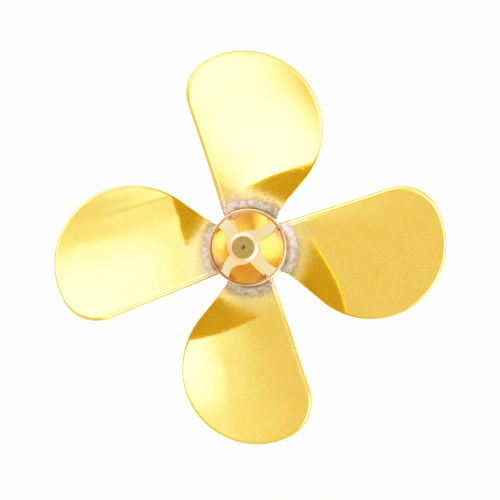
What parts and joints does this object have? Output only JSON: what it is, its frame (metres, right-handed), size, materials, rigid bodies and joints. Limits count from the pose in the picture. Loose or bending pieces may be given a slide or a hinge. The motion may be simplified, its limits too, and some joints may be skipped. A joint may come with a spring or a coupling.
{
  "type": "boat propeller",
  "caption": "Right-handed marine propeller: broad pressed brass blades soldered into a turned brass hub with a rounded nose and a blind tapped hole for the shaft.",
  "frame": {"origin": "On the shaft axis, in the plane of the hub's flat forward face, which the part stands on", "axes": "+Z runs along the shaft axis from the flat hub face to the nose, which points aft on a boat; +Y runs out along the first blade"},
  "size_m": [0.0599, 0.06, 0.0199],
  "materials": {
    "hub_brass": "turned and buffed to a mirror, with a fine turned end flat",
    "blade_brass": "buffed sheet with fine scratches and heat tint near the root",
    "solder": "dull grey pitted solder"
  },
  "bodies": {
    "root": {"hub": "hub_brass", "blade_1": "blade_brass", "blade_2": "blade_brass", "blade_3": "blade_brass", "blade_4": "blade_brass", "solder_aft_1": "solder", "solder_aft_2": "solder", "solder_aft_3": "solder", "solder_aft_4": "solder", "solder_fore_1": "solder", "solder_fore_2": "solder", "solder_fore_3": "solder", "solder_fore_4": "solder"}
  },
  "joints": []
}
